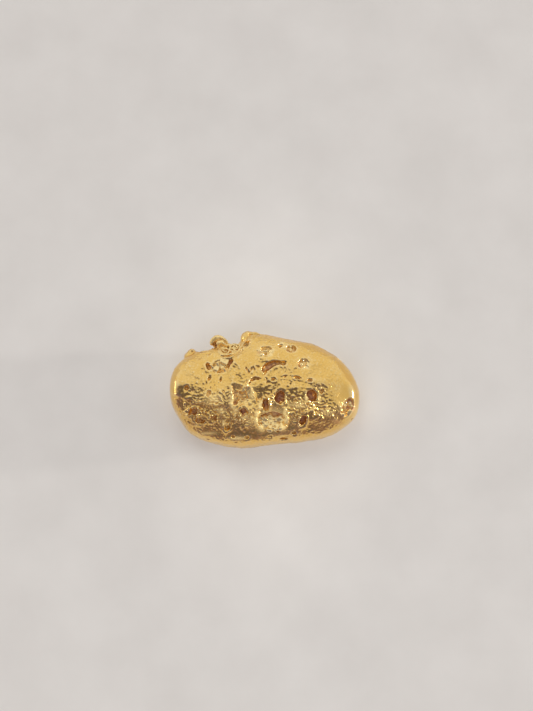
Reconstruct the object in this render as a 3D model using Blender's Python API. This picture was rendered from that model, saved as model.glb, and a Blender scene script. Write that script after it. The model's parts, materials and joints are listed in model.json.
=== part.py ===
"""Natural gold nugget: a waterworn, flattened lump a little over a centimetre long.

One solid grown as a single piece: two lobes that meet at a ledge, a torn corner with
a curled wire of metal, threads and a bead, bowls lined with crystals, a stepped cavity,
pits, a curved groove and a rounded underside with a small flat that it rests on.
Units: the shapes are worked out in millimetres and scaled to metres at the end.
+X runs along the length, +Y towards the torn edge, +Z up from the flat underside.
"""
import math
import random

import bmesh
import bpy
import numpy as np
from mathutils import Euler, Matrix, Vector, noise
from mathutils.bvhtree import BVHTree

for old in list(bpy.data.objects):
    bpy.data.objects.remove(old, do_unlink=True)

MM = 0.001

# ---------------------------------------------------------------- driving dimensions (mm)
TOP_Z = 3.25            # height of the crown over the resting plane
RIM_Z = 1.35            # height of the widest contour
BOTTOM_Z = -0.10        # lowest point of the rounded underside, before it is flattened
CROWN = (0.2, 0.55)     # where the crown stands, a little behind the middle
TOP_POWER = 2.35        # roundness of the upper side: 2 is an ellipse, more is flatter
LEFT_BLUNT = 2.6        # what the power gains towards the left end, which is blunter
LEFT_TURN = -3.08       # direction of that end from the middle, in radians
LEFT_SPREAD = 0.42
BOTTOM_POWER = 2.6
BODY_VOXEL = 0.085      # grain of the solid while its features are fused
TRIANGLES = 8600        # facets of the finished solid

# Widest contour seen from above, anticlockwise from the right-hand end (x, y).
OUTLINE = [
    (5.11, -0.50), (4.94, 0.30), (4.48, 1.12), (3.82, 1.75), (2.70, 2.38), (1.60, 2.62),
    (0.40, 2.86), (-0.45, 3.02), (-1.00, 3.00), (-1.32, 2.66), (-1.72, 2.20), (-2.80, 2.18),
    (-3.60, 2.06), (-4.22, 1.66), (-4.83, 1.05), (-5.11, 0.20), (-5.05, -0.80),
    (-4.60, -1.70), (-3.96, -2.48), (-3.05, -2.91), (-1.60, -3.22), (-0.60, -3.19),
    (0.40, -3.04), (1.70, -2.95), (2.45, -2.81), (3.15, -2.69), (4.14, -2.22), (4.89, -1.51)]

# Ledge where the right lobe overlies the left one, from back to front.
LEDGE = [(-0.95, 2.75), (-1.12, 2.25), (-1.35, 1.70), (-1.70, 1.10), (-1.87, 0.44),
         (-2.00, -0.26), (-1.90, -0.95), (-1.60, -1.60), (-1.20, -2.40)]
LEDGE_DROP = 0.17
LEDGE_WIDTH = 0.34
LEDGE_END = (-1.10, -0.30)    # in y: run out at the first, whole from the second

# Crest of the lower terrace on the front of the left lobe, from left to right.
TERRACE = [(-4.60, -0.75), (-3.70, -1.15), (-2.95, -1.25), (-2.20, -1.20), (-1.60, -1.45)]
TERRACE_DROP = 0.13
TERRACE_WIDTH = 0.22

# Broad swells and hollows of the upper side: x, y, reach in x, reach in y, height.
SWELLS = [
    (-3.10, 0.50, 1.30, 0.90, 0.04), (1.00, 1.30, 1.60, 0.80, 0.05),
    (-3.30, -0.45, 1.15, 0.55, 0.09), (-2.20, -0.75, 0.60, 0.55, 0.09),
    (-0.75, -0.50, 0.85, 0.40, 0.06), (2.85, -1.20, 0.45, 0.45, -0.05),
    (-0.22, -0.72, 0.30, 0.42, -0.13), (0.40, -2.00, 0.70, 0.58, -0.10),
    (1.70, -0.55, 0.55, 0.30, -0.05), (-3.80, -1.90, 0.60, 0.40, 0.02),
    (-2.30, -2.10, 0.60, 0.30, -0.05), (2.60, -1.75, 0.70, 0.35, 0.05),
    (0.35, -0.30, 0.50, 0.25, 0.04), (-0.80, 0.30, 0.30, 0.60, 0.03),
    (4.70, -0.60, 0.30, 0.75, 0.12), (2.90, 0.60, 0.60, 0.50, -0.03),
    (-1.60, -2.62, 2.00, 0.34, -0.10), (2.60, -2.34, 1.30, 0.32, -0.10),
    (-3.40, -2.34, 0.90, 0.34, -0.08), (-4.72, -0.20, 0.26, 0.80, 0.10),
    (4.00, -1.85, 0.60, 0.35, -0.04), (4.15, -0.85, 0.45, 0.50, -0.05)]

# Hollow torn out of the back edge: middle and half sizes.
BITE = ((-3.30, 2.63, 1.60), (0.80, 0.92, 1.90))

# Wire curled up and over at the torn corner: its path, and its radius at each point.
CURL = [(-2.84, 2.22, 1.98), (-2.90, 2.42, 2.00), (-2.80, 2.60, 2.04), (-2.58, 2.69, 2.08),
        (-2.34, 2.64, 2.12), (-2.19, 2.48, 2.14), (-2.07, 2.28, 2.18), (-2.02, 2.10, 2.20)]
CURL_RADII = [0.13, 0.16, 0.16, 0.15, 0.15, 0.14, 0.14, 0.13]
CURL_LOOP = [(-2.54, 2.10, 2.06), (-2.50, 2.30, 2.10), (-2.37, 2.42, 2.13), (-2.24, 2.36, 2.16),
             (-2.20, 2.20, 2.20)]
LOOP_RADIUS = 0.09

# Walls that stand up round the front bowl and the cavity: path from above, radii, lift.
RIDGES = [
    ([(-0.16, -1.00), (-0.25, -1.30), (-0.33, -1.58)], [0.07, 0.12, 0.09], 0.02),
    ([(-0.36, -1.70), (-0.48, -1.92), (-0.46, -2.16), (-0.30, -2.36), (-0.14, -2.50)],
     [0.08, 0.13, 0.11, 0.11, 0.08], 0.02),
    ([(1.02, -1.40), (1.12, -1.58), (1.20, -1.82)], [0.07, 0.11, 0.10], 0.02),
    ([(1.24, -1.92), (1.22, -2.14), (1.10, -2.36), (0.96, -2.46)],
     [0.10, 0.13, 0.11, 0.08], 0.02)]

# Lumps of the torn edge: the bead and its foot, the metal behind the curl, the top lump.
LUMPS = [
    ((-3.96, 1.84, 1.86), (0.25, 0.25, 0.27)), ((-4.13, 1.66, 1.72), (0.26, 0.27, 0.36)),
    ((-2.44, 2.30, 1.74), (0.36, 0.34, 0.34)), ((-2.06, 2.14, 1.88), (0.32, 0.26, 0.30)),
    ((-1.62, 2.14, 1.94), (0.34, 0.22, 0.26)),
    ((-0.93, 2.60, 1.95), (0.40, 0.45, 0.44)), ((-0.60, 2.62, 1.97), (0.46, 0.39, 0.42))]

# Pits: x, y, half length, half width, depth, turn in degrees, lip height.
PITS = [
    (2.48, -0.80, 0.33, 0.26, 0.36, -60, 0.04), (0.78, -0.92, 0.36, 0.25, 0.38, 78, 0.04),
    (0.03, -1.34, 0.35, 0.16, 0.32, 95, 0.02), (2.00, -2.07, 0.30, 0.16, 0.30, 75, 0.06),
    (-1.13, -1.72, 0.23, 0.20, 0.30, 90, 0.05), (-3.82, -1.62, 0.28, 0.15, 0.22, 20, 0.05),
    (-3.43, -2.06, 0.24, 0.15, 0.22, 0, 0.05), (-4.16, -0.40, 0.14, 0.11, 0.16, 70, 0.03),
    (-3.02, 0.78, 0.22, 0.13, 0.22, 110, 0.03), (-1.90, 1.13, 0.20, 0.14, 0.24, 40, 0.00),
    (0.68, -2.50, 0.16, 0.12, 0.24, 80, 0.03), (-1.69, -2.87, 0.10, 0.09, 0.18, 0, 0.02),
    (-0.95, -2.92, 0.14, 0.11, 0.16, 0, 0.03), (0.28, -2.85, 0.13, 0.09, 0.15, 0, 0.03),
    (1.01, -2.91, 0.22, 0.10, 0.19, 0, 0.02), (1.54, -2.66, 0.14, 0.12, 0.17, 0, 0.04),
    (-2.01, -2.44, 0.16, 0.13, 0.16, 30, 0.05), (-2.95, 0.11, 0.16, 0.08, 0.13, 80, 0.03),
    (-2.36, 0.03, 0.12, 0.08, 0.13, 80, 0.03), (2.38, 0.00, 0.16, 0.09, 0.13, 0, 0.02),
    (2.99, -0.57, 0.12, 0.10, 0.12, 30, 0.03), (-2.72, -1.98, 0.20, 0.12, 0.16, 10, 0.04),
    (-2.98, -0.75, 0.16, 0.11, 0.13, 60, 0.04), (1.70, 0.13, 0.22, 0.08, 0.12, -10, 0.03),
    (-1.55, -1.20, 0.17, 0.11, 0.24, 60, 0.02), (-0.62, 0.04, 0.16, 0.08, 0.13, 12, 0.00),
    (-2.70, 2.28, 0.16, 0.11, 0.26, 80, 0.00)]

# Bowls lined with crystals: x, y, half length, half width, depth, turn, crystals, their size.
VUGS = [
    (-2.36, 0.80, 0.52, 0.38, 0.30, 20, 9, 0.18), (0.00, 1.60, 0.40, 0.34, 0.28, 0, 8, 0.16),
    (0.93, 2.02, 0.24, 0.28, 0.24, 0, 3, 0.16), (1.40, 1.82, 0.32, 0.28, 0.32, 50, 5, 0.15),
    (2.03, 0.88, 0.34, 0.30, 0.28, 0, 7, 0.15), (4.29, -1.33, 0.46, 0.28, 0.32, 65, 7, 0.15),
    (-1.06, 2.14, 0.32, 0.25, 0.30, 0, 5, 0.14)]

# Bowl at the front, open upwards: place from above, half sizes, lift, crystals, their size.
BOWL = ((0.40, -2.04), (0.82, 0.55, 0.32), 0.07, 18, 0.20)

# Hollows of the torn corner: x, y, half length, half width, depth, turn.
TORN = [
    (-2.12, 1.76, 0.36, 0.34, 0.30, 0), (-1.66, 2.02, 0.30, 0.34, 0.34, 0),
    (-1.96, 1.37, 0.42, 0.10, 0.18, 6)]

# Threads over those hollows: a ring's middle and radius, from above.
RINGS = [(-2.12, 1.76, 0.27), (-1.66, 2.03, 0.24), (-1.24, 1.90, 0.10)]
RING_WIRE = 0.075

# Stepped cavity beside the ledge, cut by tilted cubes: x, y, size, lift, turn, two tilts.
STEPS = [
    (-1.52, -0.42, 0.46, 0.14, 10, 22, -6), (-1.42, -0.86, 0.44, 0.04, 8, -10, 4),
    (-1.10, -0.86, 0.40, 0.06, 24, -8, -8), (-1.62, -0.68, 0.26, -0.02, 60, 6, 10)]

# Pits round the flanks: direction from the middle in degrees, height, half size, depth.
SIDE_PITS = [
    (20, 1.9, 0.17, 0.16), (38, 1.2, 0.22, 0.20), (55, 1.7, 0.14, 0.14), (66, 1.1, 0.26, 0.24),
    (82, 1.6, 0.18, 0.16), (98, 0.9, 0.20, 0.20), (128, 1.1, 0.24, 0.22),
    (150, 1.0, 0.22, 0.18), (170, 1.3, 0.16, 0.14), (188, 0.9, 0.24, 0.20),
    (206, 1.1, 0.15, 0.14), (236, 0.8, 0.20, 0.16), (262, 0.7, 0.16, 0.14),
    (286, 0.9, 0.22, 0.18), (318, 0.8, 0.18, 0.16), (342, 1.0, 0.24, 0.20)]

# Pits of the underside: x, y, half length, half width, depth, turn.
UNDER_PITS = [
    (-3.40, 0.60, 0.40, 0.26, 0.26, 30), (-2.50, -1.60, 0.30, 0.22, 0.24, 70),
    (-3.90, -0.90, 0.20, 0.16, 0.16, 0), (-1.20, 1.90, 0.34, 0.24, 0.26, 10),
    (0.80, -2.20, 0.36, 0.20, 0.22, 160), (2.60, -1.40, 0.28, 0.24, 0.22, 40),
    (3.70, 0.30, 0.36, 0.26, 0.26, 110), (2.70, 1.60, 0.24, 0.20, 0.20, 0),
    (1.00, 2.10, 0.20, 0.16, 0.18, 60), (-0.60, -0.50, 0.30, 0.20, 0.22, 20),
    (1.30, 0.60, 0.22, 0.18, 0.18, 80), (-2.20, 0.90, 0.18, 0.14, 0.16, 0)]

# Curved groove across the back of the crown: x, y, half width, depth.
GROOVE = [
    (-0.02, 0.66, 0.17, 0.20), (0.12, 0.78, 0.20, 0.25), (0.30, 0.90, 0.18, 0.25),
    (0.48, 0.98, 0.15, 0.22), (0.66, 1.01, 0.12, 0.19), (0.84, 1.00, 0.11, 0.16),
    (1.00, 0.98, 0.13, 0.14)]


def closed_curve(points, steps=24):
    """Smooth closed curve through the control points."""
    p = np.array(points, float)
    out = []
    for i in range(len(p)):
        a, b, c, d = p[i - 1], p[i], p[(i + 1) % len(p)], p[(i + 2) % len(p)]
        for t in np.linspace(0.0, 1.0, steps, endpoint=False):
            out.append(0.5 * (2 * b + (c - a) * t + (2 * a - 5 * b + 4 * c - d) * t * t
                              + (3 * b - a - 3 * c + d) * t ** 3))
    return np.array(out)


def smoothstep(x):
    x = np.clip(x, 0.0, 1.0)
    return x * x * (3.0 - 2.0 * x)


def side_distance(xy, line):
    """Signed distance from a polyline (positive on its right, seen along its run)."""
    best = np.full(len(xy), 1e9)
    sign = np.ones(len(xy))
    for (ax, ay), (bx, by) in zip(line[:-1], line[1:]):
        a, d = np.array([ax, ay]), np.array([bx - ax, by - ay])
        rel = xy - a
        t = np.clip(rel @ d / (d @ d), 0.0, 1.0)
        off = rel - t[:, None] * d
        dist = np.hypot(off[:, 0], off[:, 1])
        side = np.sign(rel[:, 1] * d[0] - rel[:, 0] * d[1])
        closer = dist < best
        best[closer] = dist[closer]
        sign[closer] = side[closer]
    return -best * sign


def get_points(obj):
    co = np.empty(len(obj.data.vertices) * 3, np.float32)
    obj.data.vertices.foreach_get("co", co)
    return co.reshape(-1, 3).astype(float)


def set_points(obj, co):
    obj.data.vertices.foreach_set("co", co.astype(np.float32).ravel())
    obj.data.update()


def mesh_object(name, bm):
    mesh = bpy.data.meshes.new(name)
    bm.to_mesh(mesh)
    bm.free()
    obj = bpy.data.objects.new(name, mesh)
    bpy.context.scene.collection.objects.link(obj)
    return obj


def apply_modifiers(obj):
    """Keep what the modifiers give as the object's own mesh."""
    graph = bpy.context.evaluated_depsgraph_get()
    mesh = bpy.data.meshes.new_from_object(obj.evaluated_get(graph))
    obj.modifiers.clear()
    obj.data = mesh


def voxel_remesh(obj, size):
    mod = obj.modifiers.new("Voxel", "REMESH")
    mod.mode = "VOXEL"
    mod.voxel_size = size
    apply_modifiers(obj)


def smooth(obj, factor, turns):
    mod = obj.modifiers.new("Smooth", "SMOOTH")
    mod.factor = factor
    mod.iterations = turns
    apply_modifiers(obj)


def body():
    """The two-lobed, flattened body, before anything is added or cut."""
    bm = bmesh.new()
    bmesh.ops.create_icosphere(bm, subdivisions=7, radius=1.0)
    obj = mesh_object("nugget", bm)
    co = get_points(obj)
    co /= np.linalg.norm(co, axis=1)[:, None]
    curve = closed_curve(OUTLINE)
    angle = np.arctan2(curve[:, 1], curve[:, 0])
    reach = np.hypot(curve[:, 0], curve[:, 1])
    order = np.argsort(angle)
    theta = np.arctan2(co[:, 1], co[:, 0])
    rim = np.interp(theta, angle[order], reach[order], period=2.0 * math.pi)
    up = co[:, 2] >= 0.0
    off_left = (theta - LEFT_TURN + math.pi) % (2.0 * math.pi) - math.pi
    blunt = LEFT_BLUNT * np.exp(-(off_left / LEFT_SPREAD) ** 2)
    power = np.where(up, TOP_POWER + blunt, BOTTOM_POWER)
    spread = np.hypot(co[:, 0], co[:, 1]) ** (2.0 / power)
    rise = np.abs(co[:, 2]) ** (2.0 / power)
    pole = np.where(up[:, None], CROWN, (0.0, 0.0))
    xy = pole * (1.0 - spread)[:, None]
    xy = xy + np.stack([rim * np.cos(theta), rim * np.sin(theta)], 1) * spread[:, None]
    z = np.where(up, RIM_Z + (TOP_Z - RIM_Z) * rise, RIM_Z - (RIM_Z - BOTTOM_Z) * rise)
    # ledge, terrace, swells and hollows act on the upper side and fade out at the rim
    fade = smoothstep((z - RIM_Z - 0.15) / 0.9) * up
    left = side_distance(xy, LEDGE)
    start, whole = LEDGE_END
    relief = -LEDGE_DROP * smoothstep(left / LEDGE_WIDTH + 0.5) * np.exp(
        -np.clip(left, 0.0, None) / 3.0) * smoothstep((xy[:, 1] - start) / (whole - start))
    front = side_distance(xy, TERRACE)
    near = np.exp(-np.clip(front, 0.0, None) / 0.9) * smoothstep((left + 0.1) / 0.4)
    relief -= TERRACE_DROP * smoothstep(front / TERRACE_WIDTH + 0.5) * near
    for x, y, rx, ry, height in SWELLS:
        r2 = ((xy[:, 0] - x) / rx) ** 2 + ((xy[:, 1] - y) / ry) ** 2
        relief += height * np.exp(-r2)
    set_points(obj, np.stack([xy[:, 0], xy[:, 1], z + fade * relief], 1))
    return obj


def surface(obj):
    return BVHTree.FromPolygons([v.co for v in obj.data.vertices],
                                [tuple(p.vertices) for p in obj.data.polygons])


def drop(tree, x, y):
    """Place and normal of the surface straight under (x, y)."""
    place, normal, _, _ = tree.ray_cast(Vector((x, y, 9.0)), Vector((0.0, 0.0, -1.0)))
    return place, normal


def upright(place, normal, turn):
    """Frame whose Z is the surface normal, turned about it from +X."""
    z = normal.normalized()
    x = (Vector((math.cos(math.radians(turn)), math.sin(math.radians(turn)), 0.0)))
    x = (x - x.dot(z) * z).normalized()
    y = z.cross(x)
    return Matrix.Translation(place) @ Matrix((x, y, z)).transposed().to_4x4()


def add_ball(bm, frame, half, segments=3):
    shape = frame @ Matrix.Diagonal((*half, 1.0))
    bmesh.ops.create_icosphere(bm, subdivisions=segments, radius=1.0, matrix=shape)


def add_crystal(bm, place, size, rng):
    """One cube or octahedron, turned at random."""
    spin = Euler([rng.uniform(0.0, 2.0 * math.pi) for _ in range(3)]).to_matrix().to_4x4()
    shape = Matrix.Translation(place) @ spin
    if rng.random() < 0.55:
        bmesh.ops.create_cube(bm, size=size * 1.25, matrix=shape)
    else:
        for tip in (1.0, -1.0):
            cone = Matrix.Translation((0.0, 0.0, tip * size * 0.4))
            flip = Matrix.Rotation(0.0 if tip > 0 else math.pi, 4, "X")
            bmesh.ops.create_cone(bm, segments=4, radius1=size * 0.8, radius2=0.0,
                                  depth=size * 0.8, cap_ends=True, matrix=shape @ cone @ flip)


def fuse(target, extra):
    """Lay a second mesh over the first and fuse them by voxels."""
    bm = bmesh.new()
    bm.from_mesh(target.data)
    bm.from_mesh(extra.data)
    bm.to_mesh(target.data)
    bm.free()
    bpy.data.objects.remove(extra, do_unlink=True)
    voxel_remesh(target, BODY_VOXEL)


def add_tube(bm, path, radii):
    """Wire through a path, as a close row of balls."""
    for (a, ra), (b, rb) in zip(zip(path[:-1], radii[:-1]), zip(path[1:], radii[1:])):
        steps = max(2, int((Vector(b) - Vector(a)).length / (0.4 * min(ra, rb))) + 1)
        for t in np.linspace(0.0, 1.0, steps):
            add_ball(bm, Matrix.Translation(Vector(a).lerp(Vector(b), t)),
                     [ra + (rb - ra) * t] * 3, 2)


def laid(tree, path, lift):
    """Points seen from above, put this far above the surface."""
    return [drop(tree, x, y)[0] + Vector((0.0, 0.0, lift)) for x, y in path]


def bite_out(obj):
    """Hollow of the torn edge, cut before anything grows beside it."""
    bm = bmesh.new()
    add_ball(bm, Matrix.Translation(BITE[0]), BITE[1], 5)
    cut_with(obj, mesh_object("bite_cutter", bm), "EXACT")


def cut_with(obj, cut, solver):
    cut.hide_render = True
    cut.display_type = "WIRE"
    mod = obj.modifiers.new("Cut", "BOOLEAN")
    mod.operation = "DIFFERENCE"
    mod.solver = solver
    mod.object = cut
    apply_modifiers(obj)
    bpy.data.objects.remove(cut, do_unlink=True)


def lumps(tree):
    """What stands on the body: the lumps, the curl with its loop, and the ridges."""
    bm = bmesh.new()
    for place, half in LUMPS:
        add_ball(bm, Matrix.Translation(place), half)
    add_tube(bm, CURL, CURL_RADII)
    add_tube(bm, CURL_LOOP, [LOOP_RADIUS] * len(CURL_LOOP))
    for path, radii, lift in RIDGES:
        add_tube(bm, laid(tree, path, lift), radii)
    return mesh_object("lumps", bm)


def cutters(tree):
    """Everything that hollows the surface, as one closed mesh."""
    bm = bmesh.new()
    for x, y, a, b, depth, turn, _ in PITS:
        place, normal = drop(tree, x, y)
        add_ball(bm, upright(place, normal, turn), (a, b, depth))
    for x, y, a, b, depth, turn, *_ in VUGS + TORN:
        place, normal = drop(tree, x, y)
        add_ball(bm, upright(place, normal, turn), (a, b, depth))
    (x, y), half, lift, _, _ = BOWL
    add_ball(bm, Matrix.Translation(drop(tree, x, y)[0] + Vector((0.0, 0.0, lift))), half)
    for (ax, ay, aw, ad), (bx, by, bw, bd) in zip(GROOVE[:-1], GROOVE[1:]):
        for t in np.linspace(0.0, 1.0, 3):
            place, normal = drop(tree, ax + (bx - ax) * t, ay + (by - ay) * t)
            w, d = aw + (bw - aw) * t, ad + (bd - ad) * t
            add_ball(bm, upright(place, normal, 0.0), (w, w, d), 2)
    for x, y, size, lift, turn, tilt, lean in STEPS:
        place, normal = drop(tree, x, y)
        tip = Euler((math.radians(tilt), math.radians(lean), 0.0)).to_matrix().to_4x4()
        frame = upright(place, normal, turn) @ Matrix.Translation((0.0, 0.0, lift)) @ tip
        bmesh.ops.create_cube(bm, size=size, matrix=frame)
    for angle, height, half, depth in SIDE_PITS:
        out = Vector((math.cos(math.radians(angle)), math.sin(math.radians(angle)), 0.0))
        place, normal, _, _ = tree.ray_cast(out * 9.0 + Vector((0.0, 0.0, height)), -out)
        add_ball(bm, upright(place, normal, 0.0), (half, half * 0.75, depth))
    for x, y, a, b, depth, turn in UNDER_PITS:
        place, normal, _, _ = tree.ray_cast(Vector((x, y, -9.0)), Vector((0.0, 0.0, 1.0)))
        add_ball(bm, upright(place, normal, turn), (a, b, depth))
    obj = mesh_object("cutter", bm)
    voxel_remesh(obj, BODY_VOXEL * 0.8)
    return obj


def linings(tree):
    """Crystals on the floors of the bowls, and the threads of the torn corner."""
    rng = random.Random(11)
    bm = bmesh.new()
    (x, y), half, lift, number, grain = BOWL
    floors = [(Matrix.Translation(drop(tree, x, y)[0] + Vector((0.0, 0.0, lift))), half,
               number, grain)]
    for x, y, a, b, depth, turn, count, size in VUGS:
        floors.append((upright(*drop(tree, x, y), turn), (a, b, depth), count, size))
    for frame, (a, b, depth), count, size in floors:
        for _ in range(count):
            ang, rad = rng.uniform(0.0, 2.0 * math.pi), math.sqrt(rng.random()) * 0.8
            px, py = a * rad * math.cos(ang), b * rad * math.sin(ang)
            pz = -depth * math.sqrt(max(0.0, 1.0 - rad * rad)) + size * 0.25
            add_crystal(bm, frame @ Vector((px, py, pz)), size * rng.uniform(0.75, 1.15), rng)
    for x, y, radius in RINGS:
        turns = np.linspace(0.3, 0.3 + 1.8 * math.pi, 9)
        path = [(x + radius * math.cos(t), y + radius * math.sin(t)) for t in turns]
        add_tube(bm, laid(tree, path, 0.02), [RING_WIRE] * len(path))
    return mesh_object("linings", bm)


def raise_lips(obj):
    """Low ring of metal pushed up round each pit."""
    co = get_points(obj)
    top = smoothstep((co[:, 2] - RIM_Z + 0.2) / 0.5)
    for x, y, a, b, _, turn, lip in PITS:
        c, s = math.cos(math.radians(turn)), math.sin(math.radians(turn))
        dx, dy = co[:, 0] - x, co[:, 1] - y
        u, v = (dx * c + dy * s) / (a + 0.07), (-dx * s + dy * c) / (b + 0.07)
        ring = np.exp(-((np.hypot(u, v) - 1.0) / 0.28) ** 2)
        co[:, 2] += lip * ring * top
    set_points(obj, co)


def rough(obj, amount, size, seed, where=None, dents_only=False):
    """Uneven waterworn surface: noise pushed out along the normals."""
    co = get_points(obj)
    nor = np.empty(len(co) * 3, np.float32)
    obj.data.vertices.foreach_get("normal", nor)
    nor = nor.reshape(-1, 3)
    shift = Vector((seed * 3.1, seed * 1.7, seed * 2.3))
    value = np.array([noise.noise(Vector(c) / size + shift) for c in co])
    if dents_only:
        below = np.maximum(0.05 - value, 0.0)
        value = -below * below / (below + 0.12)
    mask = 1.0 if where is None else where(co)
    set_points(obj, co + nor * (amount * value * mask)[:, None])


def low_side(co):
    """Most on the flanks and underside, a little on the crown, none at the widest contour."""
    below = smoothstep((RIM_Z - 0.1 - co[:, 2]) / 0.6)
    above = 0.20 * smoothstep((co[:, 2] - RIM_Z - 0.3) / 0.9)
    return below + above


def nugget():
    obj = body()
    rough(obj, 0.55, 1.5, 5, low_side, dents_only=True)
    rough(obj, 0.26, 0.7, 8, low_side, dents_only=True)
    bite_out(obj)
    fuse(obj, lumps(surface(obj)))
    smooth(obj, 0.5, 2)
    tree = surface(obj)
    raise_lips(obj)
    cut_with(obj, cutters(tree), "MANIFOLD")
    fuse(obj, linings(tree))
    smooth(obj, 0.4, 1)
    rough(obj, 0.05, 0.45, 1)
    return obj


def rest_flat(obj):
    """Worn flat on the underside that the nugget lies on."""
    bm = bmesh.new()
    bmesh.ops.create_cube(bm, size=1.0, matrix=Matrix.Translation((0.0, 0.0, -1.0))
                          @ Matrix.Diagonal((14.0, 10.0, 2.0, 1.0)))
    cut_with(obj, mesh_object("rest_cutter", bm), "EXACT")


def gold():
    mat = bpy.data.materials.new("gold")
    mat.use_nodes = True
    shader = mat.node_tree.nodes["Principled BSDF"]
    shader.inputs["Base Color"].default_value = (0.90, 0.58, 0.17, 1.0)
    shader.inputs["Metallic"].default_value = 1.0
    shader.inputs["Roughness"].default_value = 0.26
    return mat


def main():
    obj = nugget()
    mod = obj.modifiers.new("Facets", "DECIMATE")
    mod.use_collapse_triangulate = True
    mod.ratio = TRIANGLES / (2.0 * len(obj.data.polygons))
    apply_modifiers(obj)
    rest_flat(obj)
    co = get_points(obj)
    middle = (co.max(axis=0) + co.min(axis=0)) / 2.0
    co = (co - (middle[0], middle[1], co[:, 2].min())) * MM
    set_points(obj, co)
    obj.data.materials.append(gold())
    obj.data.shade_smooth()
    size = (co.max(axis=0) - co.min(axis=0)) / MM
    print("nugget", len(obj.data.polygons), "faces", [round(float(v), 2) for v in size], "mm",
          "shift", [round(float(v), 3) for v in middle])


if __name__ == "__main__":
    main()
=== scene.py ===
# %% [markdown]
# # A natural gold nugget
# One piece of metal, with bowls lined with small crystals, pores, and a ledge where two lobes
# meet. A imported solid of the same nugget gives the size, so the first step opens it and keeps
# its box to place the mesh in at the end.

# %% Open the measured solid
import json
import random
from math import cos, pi, radians, sin, sqrt

import bpy
import numpy as np
from mathutils import Euler, Matrix, Quaternion, Vector, noise
from mathutils.bvhtree import BVHTree

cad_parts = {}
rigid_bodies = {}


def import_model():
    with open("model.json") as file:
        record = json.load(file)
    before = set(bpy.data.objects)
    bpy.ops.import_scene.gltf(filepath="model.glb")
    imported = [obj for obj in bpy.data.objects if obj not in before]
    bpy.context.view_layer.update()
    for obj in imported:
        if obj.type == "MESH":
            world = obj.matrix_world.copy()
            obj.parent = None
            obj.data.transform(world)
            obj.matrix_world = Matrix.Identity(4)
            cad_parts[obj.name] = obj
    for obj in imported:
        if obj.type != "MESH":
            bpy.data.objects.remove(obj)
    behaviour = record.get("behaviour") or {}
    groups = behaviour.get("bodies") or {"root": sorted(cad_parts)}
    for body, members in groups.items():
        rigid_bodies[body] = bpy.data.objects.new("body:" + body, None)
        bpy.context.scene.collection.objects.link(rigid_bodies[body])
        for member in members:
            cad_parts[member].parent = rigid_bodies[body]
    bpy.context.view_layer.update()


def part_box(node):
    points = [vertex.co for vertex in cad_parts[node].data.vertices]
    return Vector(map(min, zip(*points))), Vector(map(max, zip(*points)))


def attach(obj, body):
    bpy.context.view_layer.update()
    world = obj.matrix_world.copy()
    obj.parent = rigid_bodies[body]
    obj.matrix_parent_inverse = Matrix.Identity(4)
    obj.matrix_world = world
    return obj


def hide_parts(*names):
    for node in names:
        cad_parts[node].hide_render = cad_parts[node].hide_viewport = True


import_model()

cad_low, cad_high = (Vector(corner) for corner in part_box("nugget"))
print("solid, mm:", [round(1000.0 * v, 2) for v in cad_high - cad_low])

# %% [markdown]
# ## Working in millimetres
# Remesh and texture sizes are easier to judge when one unit is a millimetre, so the metal is
# modelled at that scale and brought to metres as the last step of the modelling.

# %% Sizes of the body, in millimetres
MM = 0.001
TOP_Z = 3.23          # height of the crown
RIM_Z = 1.35          # height of the widest contour
BOTTOM_Z = -0.1      # lowest point of the rounded underside, pressed flat later
CROWN = (0.2, 0.55)   # where the crown stands, seen from above
TOP_POWER = 2.35      # 2 is an ellipse, more is flatter with rounder shoulders
BOTTOM_POWER = 2.6
LEFT_BLUNT = 2.6      # what the power gains at the left end, which is blunter
LEFT_TURN = -3.08     # direction of that end from the middle, in radians
LEFT_SPREAD = 0.42
FUSE_VOXEL = 0.045    # grain while pieces are fused
FINE_VOXEL = 0.031    # grain of the finished surface
FACE_BUDGET = 192000

# The widest contour, anticlockwise from the right-hand end.
OUTLINE = [
    (5.11, -0.5), (4.94, 0.3), (4.48, 1.12), (3.82, 1.75), (2.7, 2.38), (1.6, 2.62), (0.4, 2.86),
    (-0.45, 3.02), (-1.0, 3.0), (-1.32, 2.66), (-1.72, 2.2), (-2.8, 2.18), (-3.6, 2.06),
    (-4.22, 1.66), (-4.83, 1.05), (-5.11, 0.2), (-5.05, -0.8), (-4.6, -1.7), (-3.96, -2.48),
    (-3.05, -2.91), (-1.6, -3.22), (-0.6, -3.19), (0.4, -3.04), (1.7, -2.95), (2.45, -2.81),
    (3.15, -2.69), (4.14, -2.22), (4.89, -1.51)]

# %% [markdown]
# ## Small tools
# Operators act on whatever is selected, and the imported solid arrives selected, so every step
# first says which objects it means. The helpers below do that, and apply each modifier as
# soon as it is set, the way one would with the mouse before going on.

# %% Selecting, joining and applying
def pick(*objects):
    """Selects these objects alone; the first is the active one."""
    bpy.ops.object.select_all(action="DESELECT")
    for obj in objects:
        obj.select_set(True)
    bpy.context.view_layer.objects.active = objects[0]


def join(objects, name):
    """Makes one object of several, with its place and turn in its mesh."""
    pick(*objects)
    if len(objects) > 1:
        bpy.ops.object.join()
    bpy.ops.object.transform_apply(location=True, rotation=True, scale=True)
    bpy.context.object.name = name
    return bpy.context.object


def modify(obj, kind, **settings):
    """Adds a modifier, sets it and applies it."""
    pick(obj)
    mod = obj.modifiers.new(kind.title(), kind)
    for key, value in settings.items():
        setattr(mod, key, value)
    bpy.ops.object.modifier_apply(modifier=mod.name)


def points_of(obj):
    co = np.empty(len(obj.data.vertices) * 3, np.float32)
    obj.data.vertices.foreach_get("co", co)
    return co.reshape(-1, 3).astype(float)


def normals_of(obj):
    out = np.empty(len(obj.data.vertices) * 3, np.float32)
    obj.data.vertices.foreach_get("normal", out)
    return out.reshape(-1, 3)


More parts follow.
